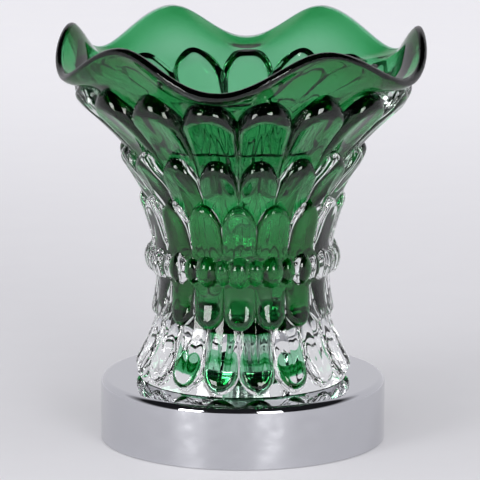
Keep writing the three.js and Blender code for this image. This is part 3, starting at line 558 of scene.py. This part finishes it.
finishes = {
    "chrome": grained("chrome_plate", (0.63, 0.635, 0.665), 1, 0.05, 0.03, 300, 2e-6),
    "steel": grained("zinc_plated_steel", (0.6, 0.61, 0.63), 1, 0.3),
    "brass": grained("plain_brass", (0.78, 0.6, 0.28), 1, 0.28),
    "clear_glass": clear_glass("clear_glass"),
    "green_glass": green_glass("green_glass"),
    "rubber": grained("black_rubber", (0.02, 0.02, 0.022), 0, 0.75, 0.2),
    "black_plastic": grained("black_plastic", (0.025, 0.025, 0.028), 0, 0.5, 0.2),
    "ceramic": grained("white_steatite", (0.78, 0.76, 0.7), 0, 0.6, 0.05),
    "white_plastic": grained("white_plastic", (0.8, 0.8, 0.77), 0, 0.4, 0.04),
    "board_green": grained("board_varnish", (0.02, 0.12, 0.05), 0, 0.4, 0.2),
    "tungsten": grained("tungsten_wire", (0.3, 0.3, 0.32), 1, 0.4),
    "copper": grained("copper_wire", (0.72, 0.35, 0.18), 1, 0.3),
    "brown_sleeve": grained("brown_insulation", (0.12, 0.05, 0.02), 0, 0.5),
    "blue_sleeve": grained("blue_insulation", (0.03, 0.12, 0.4), 0, 0.5),
    "white_sleeve": grained("white_sleeving", (0.75, 0.74, 0.7), 0, 0.6, 0.06),
    "yellow_sleeve": grained("yellow_resin", (0.6, 0.45, 0.05), 0, 0.5),
}
fused_glass = fused_face("fused_glass")

for part in frame["record"]["subparts"]:
    node = frame["nodes"][part["node"]]
    node.data.materials.clear()
    node.data.materials.append(finishes[part["material_slot"]])


# The glass shade

half_petals = 2 * PETAL_COUNT
steps = np.arange(half_petals * STEPS_PER_HALF_PETAL) / STEPS_PER_HALF_PETAL
# Steps crowd towards the seams and the middles of the petals
angles = (steps - STEP_CROWDING * np.sin(FULL_TURN * steps) / FULL_TURN) * FULL_TURN / half_petals


def glass_ring(name, rows, fused_start, fused_end, slot, nodes):
    """A ring of glass with the faces that are fused to its neighbour marked."""
    mesh = grid_mesh(name, ring_points(rows, angles, BASE_HEIGHT), True)
    row_of_face = np.arange(len(mesh.polygons)) // len(angles)
    fused = (row_of_face >= fused_start) & (row_of_face < fused_end)
    mark = mesh.attributes.new("fused", "FLOAT", "FACE")
    mark.data.foreach_set("value", fused.astype(np.float32))
    piece = add_piece(name, mesh, "base", slot, nodes, GLASS_SHARP)
    return piece, fused


clear_nodes = ["glass_casing", "glass_foot"]
casing, casing_fused = glass_ring("shade_casing", *casing_rows(angles), "clear_glass", clear_nodes)
casing.data.materials.append(fused_glass)
casing.data.polygons.foreach_set("material_index", casing_fused.astype(np.int32))
glass_ring("shade_lining", *lining_rows(angles), "green_glass", ["green_lining"])

# The oil dish, a thin glass bowl that hangs on the lining

SEAT_GAP = 0.3
DISH_WALL = 1.6
DISH_RIM_LEVEL = SHOULDER_LEVEL + 2
DISH_SEAT_LENGTH = 11
DISH_BOTTOM = DISH_RIM_LEVEL - 18.5
DISH_FLOOR_RADIUS = 20
DISH_ROWS = 12

seat_depth = LINING_THICKNESS + 2 * SEAT_GAP
seat_levels = np.linspace(DISH_RIM_LEVEL - DISH_SEAT_LENGTH, DISH_RIM_LEVEL, DISH_ROWS)
seat = np.array([proud_point(bore_line, level, -seat_depth) for level in seat_levels])
seat_inside = np.array([proud_point(bore_line, level, -seat_depth - DISH_WALL) for level in seat_levels])


def bowl_curve(floor_edge, seat_start, seat_next):
    """A smooth curve from the flat floor up into the slope of the seat."""
    slope = (seat_start - seat_next) / np.linalg.norm(seat_start - seat_next)
    reach = (floor_edge[1] - seat_start[1]) / slope[1]
    corner = seat_start + slope * reach
    t = np.linspace(0, 1, DISH_ROWS)[:-1, None]
    return (1 - t) ** 2 * floor_edge + 2 * t * (1 - t) * corner + t**2 * seat_start


rim_centre = (seat[-1] + seat_inside[-1]) / 2
rim_across = (seat[-1] - seat_inside[-1]) / 2
rim_along = np.array([-rim_across[1], rim_across[0]])
rim_turns = np.linspace(0, math.pi, DISH_ROWS)[1:-1]
rim = [rim_centre + rim_across * math.cos(turn) + rim_along * math.sin(turn) for turn in rim_turns]
inner_floor = np.array([DISH_FLOOR_RADIUS - DISH_WALL, DISH_BOTTOM + DISH_WALL])
outer_floor = np.array([DISH_FLOOR_RADIUS - DISH_WALL, DISH_BOTTOM])
dish_profile = [
    (ON_AXIS, DISH_BOTTOM),
    *bowl_curve(outer_floor, seat[0], seat[1]),
    *seat,
    *rim,
    *seat_inside[::-1],
    *bowl_curve(inner_floor, seat_inside[0], seat_inside[1])[::-1],
    (ON_AXIS, DISH_BOTTOM + DISH_WALL),
]
oil_bowl = lathe("oil_bowl", dish_profile, LATHE_STEPS, BASE_HEIGHT)
add_piece("oil_bowl", oil_bowl, "dish", "clear_glass", ["oil_dish"])

# Chrome base with its rear hole for the cord inlet

OUTER_EDGE_STEPS = 17
INNER_EDGE_STEPS = 9

edge_centre = (BASE_RADIUS - BASE_EDGE_ROUND, BASE_HEIGHT - BASE_EDGE_ROUND)
top_underside = BASE_HEIGHT - BASE_WALL
shell_profile = [
    *arc(edge_centre, BASE_EDGE_ROUND, 0, 90, OUTER_EDGE_STEPS),
    (TUBE_HOLE_RADIUS, BASE_HEIGHT),
    (TUBE_HOLE_RADIUS, top_underside),
    *arc(edge_centre, BASE_EDGE_ROUND - BASE_WALL, 90, 0, INNER_EDGE_STEPS),
    (BASE_RADIUS - BASE_WALL, BASE_RIM_LIFT),
    (BASE_RADIUS, BASE_RIM_LIFT),
]


def at_inlet(mesh):
    """Turns a mesh made about Z to lie along the cord inlet, towards the back."""
    mesh.transform(Matrix.Rotation(-QUARTER_TURN, 4, "X"))
    mesh.transform(Matrix.Translation((0, 0, INLET_LEVEL * MM)))
    return mesh


def cut_through(mesh, tool):
    """The mesh with the tool's shape cut away."""
    holders = [bpy.data.objects.new(part.name, part) for part in (mesh, tool)]
    for holder in holders:
        bpy.context.scene.collection.objects.link(holder)
    holders[0].modifiers.new("cut", "BOOLEAN").object = holders[1]
    bpy.context.view_layer.update()
    cut = holders[0].evaluated_get(bpy.context.evaluated_depsgraph_get())
    made = bpy.data.meshes.new_from_object(cut)
    for holder in holders:
        bpy.data.objects.remove(holder)
    return made


inlet_profile = [
    (ON_AXIS, BASE_RADIUS - INLET_CUT),
    (INLET_HOLE_RADIUS, BASE_RADIUS - INLET_CUT),
    (INLET_HOLE_RADIUS, BASE_RADIUS + INLET_CUT),
    (ON_AXIS, BASE_RADIUS + INLET_CUT),
]
inlet_tool = at_inlet(lathe("inlet_tool", inlet_profile))
chrome_shell = cut_through(lathe("chrome_shell", shell_profile), inlet_tool)
add_piece("chrome_shell", chrome_shell, "base", "chrome", ["base_shell"])

# Fittings: turned, swept and rounded pieces in the places of the CAD nodes

ROUND_STEPS = 64
TUBE_BORE_RADIUS = 3.8
TUBE_RADIUS = 5
THREAD_DEPTH = 0.35
THREAD_PITCH = 1
GALLERY_RADIUS = 16
GALLERY_THICKNESS = 1
GALLERY_HEIGHT = 2
FOOT_EDGE = 0.9
ENVELOPE_WALL = 0.9
FILAMENT_WIRE = 0.16
FILAMENT_LEG = 0.3
COIL_RADIUS = 0.8
COIL_TURNS = 16
COIL_POINTS = 400
PIN_WIRE = 0.45
LOOP_POINTS = 12
GROMMET_BORE = 3.4
GROMMET_NECK = 4.8
GROMMET_FLANGE = 6.6
GROMMET_FLANGE_THICKNESS = 1.6
GROMMET_ROUND = 0.6
SMALL_ARC_STEPS = 6
RIM_ARC_STEPS = 12
PAD_ARC_STEPS = 8
DOME_ARC_STEPS = 20
DOME_TOP_DEGREES = 89.9
GROMMET_EDGE_DEGREES = 60
WIRE_RESOLUTION = 3

# Width of the rounding of the solids that keep their CAD shape
SOFT_EDGES = {
    "lamp_holder": 0.6,
    "holder_plate": 0.3,
    "tube_nut_lower": 0.5,
    "tube_nut_upper": 0.5,
    "bulb_pinch": 0.8,
    "holder_screw_1": 0.4,
    "holder_screw_2": 0.4,
    "cover_screw_1": 0.4,
    "cover_screw_2": 0.4,
    "cover_screw_3": 0.4,
    "dimmer_case": 0.5,
    "dimmer_lid": 0.4,
    "terminal_block": 0.5,
    "touch_nut": 0.3,
}
SOFT_SEGMENTS = 3
FLAT_WITHIN_DEGREES = 1
SOFTENED_FROM_DEGREES = 40

slot_of = {part["node"]: part["material_slot"] for part in frame["record"]["subparts"]}
bodies = frame["record"]["behaviour"]["bodies"]
body_of = {node: body for body, nodes in bodies.items() for node in nodes}


def node_box(node):
    """Lowest and highest corner of a CAD node in millimetres."""
    return (np.array(corner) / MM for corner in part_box(node))


def fit_piece(name, mesh, node, sharp_degrees=PLAIN_SHARP):
    add_piece(name, mesh, body_of[node], slot_of[node], [node], sharp_degrees)


def soften(node, width):
    """The solid of a CAD node with its sharp edges rounded off."""
    work = bmesh.new()
    work.from_mesh(frame["nodes"][node].data)
    bmesh.ops.remove_doubles(work, verts=work.verts, dist=DOUBLED_WITHIN)
    flat = math.radians(FLAT_WITHIN_DEGREES)
    bmesh.ops.dissolve_limit(work, angle_limit=flat, verts=work.verts, edges=work.edges)
    turned = math.radians(SOFTENED_FROM_DEGREES)
    sharp = [edge for edge in work.edges if edge.is_manifold and edge.calc_face_angle() > turned]
    bmesh.ops.bevel(work, geom=sharp, offset=width * MM, segments=SOFT_SEGMENTS, profile=0.5,
                    affect="EDGES", clamp_overlap=True)
    mesh = bpy.data.meshes.new(node + "_rounded")
    work.to_mesh(mesh)
    work.free()
    fit_piece(node + "_rounded", mesh, node, ROUNDED_SHARP)


def wire_mesh(name, points, radius, closed=False):
    """A round wire along points."""
    curve = bpy.data.curves.new(name, "CURVE")
    curve.dimensions = "3D"
    curve.bevel_depth = radius * MM
    curve.bevel_resolution = WIRE_RESOLUTION
    curve.use_fill_caps = True
    line = curve.splines.new("POLY")
    line.points.add(len(points) - 1)
    for place, point in zip(line.points, points):
        place.co = (*(coordinate * MM for coordinate in point), 1)
    line.use_cyclic_u = closed
    holder = bpy.data.objects.new(name, curve)
    mesh = bpy.data.meshes.new_from_object(holder)
    bpy.data.objects.remove(holder)
    mesh.name = name
    return mesh


def joined(name, meshes):
    """One mesh of several."""
    work = bmesh.new()
    for mesh in meshes:
        work.from_mesh(mesh)
    whole = bpy.data.meshes.new(name)
    work.to_mesh(whole)
    work.free()
    return whole


for node, width in SOFT_EDGES.items():
    soften(node, width)

low, high = node_box("lamp_tube")
crests = np.arange(low[2] + THREAD_PITCH / 2, high[2] - THREAD_PITCH / 2, THREAD_PITCH / 2)
thread = [(TUBE_RADIUS - THREAD_DEPTH * (i % 2), level) for i, level in enumerate(crests)]
tube_ends = [
    (TUBE_RADIUS - THREAD_DEPTH, high[2]),
    (TUBE_BORE_RADIUS, high[2]),
    (TUBE_BORE_RADIUS, low[2]),
    (TUBE_RADIUS - THREAD_DEPTH, low[2]),
]
threaded_tube = lathe("threaded_tube", [*thread, *tube_ends], ROUND_STEPS)
fit_piece("threaded_tube", threaded_tube, "lamp_tube", THREAD_SHARP)

rim_round = GALLERY_THICKNESS / 2
cup_profile = [
    (TUBE_HOLE_RADIUS, 0),
    *arc((GALLERY_RADIUS - rim_round, rim_round), rim_round, -90, 0, SMALL_ARC_STEPS),
    *arc((GALLERY_RADIUS - rim_round, GALLERY_HEIGHT - rim_round), rim_round, 0, 180, RIM_ARC_STEPS),
    (GALLERY_RADIUS - GALLERY_THICKNESS, GALLERY_THICKNESS),
    (TUBE_HOLE_RADIUS, GALLERY_THICKNESS),
]
gallery_cup = lathe("gallery_cup", cup_profile, LATHE_STEPS, BASE_HEIGHT)
fit_piece("gallery_cup", gallery_cup, "shade_gallery")

for node in [name for name in slot_of if name.startswith("rubber_foot")]:
    low, high = node_box(node)
    reach = (high[0] - low[0]) / 2
    pad_profile = [
        (ON_AXIS, low[2]),
        *arc((reach - FOOT_EDGE, low[2] + FOOT_EDGE), FOOT_EDGE, -90, 0, PAD_ARC_STEPS),
        (reach, high[2]),
        (ON_AXIS, high[2]),
    ]
    pad = lathe(node + "_pad", pad_profile, ROUND_STEPS)
    pad.transform(Matrix.Translation(((low[0] + high[0]) / 2 * MM, (low[1] + high[1]) / 2 * MM, 0)))
    fit_piece(node + "_pad", pad, node)

low, high = node_box("bulb_envelope")
bulb_radius = high[0]
dome_centre = (0, high[2] - bulb_radius)
envelope_profile = [
    (bulb_radius, low[2]),
    *arc(dome_centre, bulb_radius, 0, DOME_TOP_DEGREES, DOME_ARC_STEPS),
    *arc(dome_centre, bulb_radius - ENVELOPE_WALL, DOME_TOP_DEGREES, 0, DOME_ARC_STEPS),
    (bulb_radius - ENVELOPE_WALL, low[2]),
]
bulb_capsule = lathe("bulb_capsule", envelope_profile, ROUND_STEPS)
fit_piece("bulb_capsule", bulb_capsule, "bulb_envelope")

low, high = node_box("bulb_filament")
bend = (high[0] - low[0]) / 2 - COIL_RADIUS
bend_level = high[2] - bend - COIL_RADIUS
turns = np.linspace(0, 1, COIL_POINTS)
coil_turn = COIL_TURNS * FULL_TURN * turns
across = bend + COIL_RADIUS * np.cos(coil_turn)
coil = np.stack([
    -across * np.cos(math.pi * turns),
    COIL_RADIUS * np.sin(coil_turn),
    bend_level + across * np.sin(math.pi * turns),
], -1)
filament = [wire_mesh("coil", coil, FILAMENT_WIRE)]
for end in (coil[0], coil[-1]):
    filament.append(wire_mesh("leg", [(end[0], end[1], low[2]), tuple(end)], FILAMENT_LEG))
fit_piece("filament_coil", joined("filament_coil", filament), "bulb_filament", WIRE_SHARP)

for node in ("bulb_pin_1", "bulb_pin_2"):
    low, high = node_box(node)
    middle = (low + high) / 2
    wide = 0 if high[0] - low[0] > high[1] - low[1] else 1
    half = (high[wide] - low[wide]) / 2 - PIN_WIRE
    ends = []
    for centre, start in ((high[2] - PIN_WIRE - half, 0), (low[2] + PIN_WIRE + half, math.pi)):
        for turn in np.linspace(start, start + math.pi, LOOP_POINTS):
            point = middle.copy()
            point[wide] += half * math.cos(turn)
            point[2] = centre + half * math.sin(turn)
            ends.append(tuple(point))
    fit_piece(node + "_loop", wire_mesh(node + "_loop", ends, PIN_WIRE, True), node, WIRE_SHARP)

low, high = node_box("cord_grommet")
inner_face = low[1] + GROMMET_FLANGE_THICKNESS
outer_face = high[1] - GROMMET_FLANGE_THICKNESS
edge = GROMMET_ROUND
edge_reach = GROMMET_FLANGE - edge
grommet_profile = [
    (GROMMET_BORE, low[1]),
    *arc((edge_reach, low[1] + edge), edge, -90, 0, SMALL_ARC_STEPS),
    (GROMMET_FLANGE, inner_face),
    (GROMMET_NECK, inner_face),
    (GROMMET_NECK, outer_face),
    *arc((edge_reach, outer_face + edge), edge, -90, GROMMET_EDGE_DEGREES, PAD_ARC_STEPS),
    (GROMMET_NECK, high[1]),
    (GROMMET_BORE, high[1]),
]
inlet_grommet = at_inlet(lathe("inlet_grommet", grommet_profile, ROUND_STEPS))
fit_piece("inlet_grommet", inlet_grommet, "cord_grommet", ROUNDED_SHARP)

# Studio

FLOOR_SIZE = 40
FLOOR_ROUGHNESS = 0.6
FLOOR_MOTTLE = 0.01
FLOOR_MOTTLE_SCALE = 40
PALE = (0.8, 0.795, 0.825, 1)
BACKDROP = (0.7, 0.695, 0.73, 1)
DARK = (0.012, 0.012, 0.014, 1)
DOME = (1.18, 1.17, 1.21, 1)

# The studio leans: its light comes from above and in front, and what is shown there is dark
BACKDROP_LEAN = 0.6
PALE_UP_TO = 0.2
DARK_FROM = 0.5

# Share of the floor that glows evenly, and how that glow grows towards the back, in metres
FLOOR_GLOW = 0.3
GLOW_DEPTH = 1.1
NEAR_GLOW = 0.74
FAR_GLOW = 1.7

# Lamps in front of the object, in degrees from the camera's side, metres and watts
BOX_TURNS = {"left_front_box": -40, "right_front_box": 24}
BOX_ELEVATION = 12
BOX_DISTANCE = 1.5
BOX_WIDTH = 0.5
BOX_HEIGHT = 0.6
BOX_POWER = 10
BOX_TARGET = Vector((0, 0, 0.1))

# Camera fitted to the photo, in metres, degrees and millimetres of film
CAMERA_PLACE = (0.0637, -1.6883, 0.43004)
CAMERA_LOOKS_DOWN = 11.5626
CAMERA_TURN = 2.2
CAMERA_LENS = 307.83
CAMERA_FILM = 36

LIGHT_BOUNCES = 24
CLEAR_BOUNCES = 48


def shown_background(tree):
    """1 for rays that show the background: to the camera, or seen in metal and through glass."""
    path = tree.nodes.new("ShaderNodeLightPath")
    total = path.outputs["Is Camera Ray"]
    for name in ("Is Glossy Ray", "Is Transmission Ray"):
        add = tree.nodes.new("ShaderNodeMath")
        add.operation = "MAXIMUM"
        tree.links.new(total, add.inputs[0])
        tree.links.new(path.outputs[name], add.inputs[1])
        total = add.outputs["Value"]
    return total


bpy.ops.mesh.primitive_plane_add(size=FLOOR_SIZE)
floor = bpy.context.object
floor.name = "floor"
floor_paint = grained("pale_floor", PALE[:3], 0, FLOOR_ROUGHNESS, FLOOR_MOTTLE, FLOOR_MOTTLE_SCALE, 0)
floor.data.materials.append(floor_paint)
tree = floor_paint.node_tree
glow = tree.nodes.new("ShaderNodeEmission")
glow.inputs["Color"].default_value = PALE
place = tree.nodes.new("ShaderNodeTexCoord")
split = tree.nodes.new("ShaderNodeSeparateXYZ")
fade = tree.nodes.new("ShaderNodeMapRange")
fade.interpolation_type = "SMOOTHSTEP"
fade.inputs["From Min"].default_value = 0
fade.inputs["From Max"].default_value = GLOW_DEPTH
fade.inputs["To Min"].default_value = NEAR_GLOW
fade.inputs["To Max"].default_value = FAR_GLOW
tree.links.new(place.outputs["Object"], split.inputs["Vector"])
tree.links.new(split.outputs["Y"], fade.inputs["Value"])
tree.links.new(fade.outputs["Result"], glow.inputs["Strength"])
share = tree.nodes.new("ShaderNodeMath")
share.operation = "MULTIPLY"
share.inputs[1].default_value = FLOOR_GLOW
tree.links.new(shown_background(tree), share.inputs[0])
mix = tree.nodes.new("ShaderNodeMixShader")
tree.links.new(share.outputs["Value"], mix.inputs["Fac"])
tree.links.new(tree.nodes["Principled BSDF"].outputs["BSDF"], mix.inputs[1])
tree.links.new(glow.outputs["Emission"], mix.inputs[2])
tree.links.new(mix.outputs["Shader"], tree.nodes["Material Output"].inputs["Surface"])

world = bpy.data.worlds.new("studio")
bpy.context.scene.world = world
world.use_nodes = True
tree = world.node_tree
place = tree.nodes.new("ShaderNodeTexCoord")
split = tree.nodes.new("ShaderNodeSeparateXYZ")
gradient = tree.nodes.new("ShaderNodeValToRGB")
tree.links.new(place.outputs["Generated"], split.inputs["Vector"])
lean = tree.nodes.new("ShaderNodeMath")
lean.operation = "MULTIPLY_ADD"
lean.inputs[1].default_value = -BACKDROP_LEAN
tree.links.new(split.outputs["Y"], lean.inputs[0])
tree.links.new(split.outputs["Z"], lean.inputs[2])
tree.links.new(lean.outputs["Value"], gradient.inputs["Fac"])
gradient.color_ramp.elements[0].position = PALE_UP_TO
gradient.color_ramp.elements[0].color = BACKDROP
gradient.color_ramp.elements[1].position = DARK_FROM
gradient.color_ramp.elements[1].color = DARK
lit = tree.nodes.new("ShaderNodeMix")
lit.data_type = "RGBA"
dome = tree.nodes.new("ShaderNodeMix")
dome.data_type = "RGBA"
dome.inputs["A"].default_value = (0, 0, 0, 1)
dome.inputs["B"].default_value = DOME
tree.links.new(lean.outputs["Value"], dome.inputs["Factor"])
tree.links.new(dome.outputs["Result"], lit.inputs["A"])
tree.links.new(shown_background(tree), lit.inputs["Factor"])
tree.links.new(gradient.outputs["Color"], lit.inputs["B"])
tree.links.new(lit.outputs["Result"], tree.nodes["Background"].inputs["Color"])


def front_box(name, azimuth):
    """A lamp in front that faces the middle of the object."""
    light = bpy.data.lights.new(name, "AREA")
    light.shape = "RECTANGLE"
    light.size = BOX_WIDTH
    light.size_y = BOX_HEIGHT
    light.energy = BOX_POWER
    holder = bpy.data.objects.new(name, light)
    bpy.context.scene.collection.objects.link(holder)
    turn, tilt = math.radians(azimuth), math.radians(BOX_ELEVATION)
    away = Vector((math.sin(turn) * math.cos(tilt), -math.cos(turn) * math.cos(tilt), math.sin(tilt)))
    holder.location = BOX_TARGET + away * BOX_DISTANCE
    holder.rotation_euler = away.to_track_quat("Z", "Y").to_euler()


for name, azimuth in BOX_TURNS.items():
    front_box(name, azimuth)

camera_data = bpy.data.cameras.new("camera")
camera_data.sensor_width = CAMERA_FILM
camera_data.lens = CAMERA_LENS
camera = bpy.data.objects.new("camera", camera_data)
camera.location = CAMERA_PLACE
camera.rotation_euler = (math.radians(90 - CAMERA_LOOKS_DOWN), 0, math.radians(CAMERA_TURN))
bpy.context.scene.collection.objects.link(camera)
bpy.context.scene.camera = camera

scene = bpy.context.scene
scene.view_settings.view_transform = "Standard"
scene.cycles.max_bounces = LIGHT_BOUNCES
scene.cycles.transmission_bounces = LIGHT_BOUNCES
scene.cycles.transparent_max_bounces = CLEAR_BOUNCES
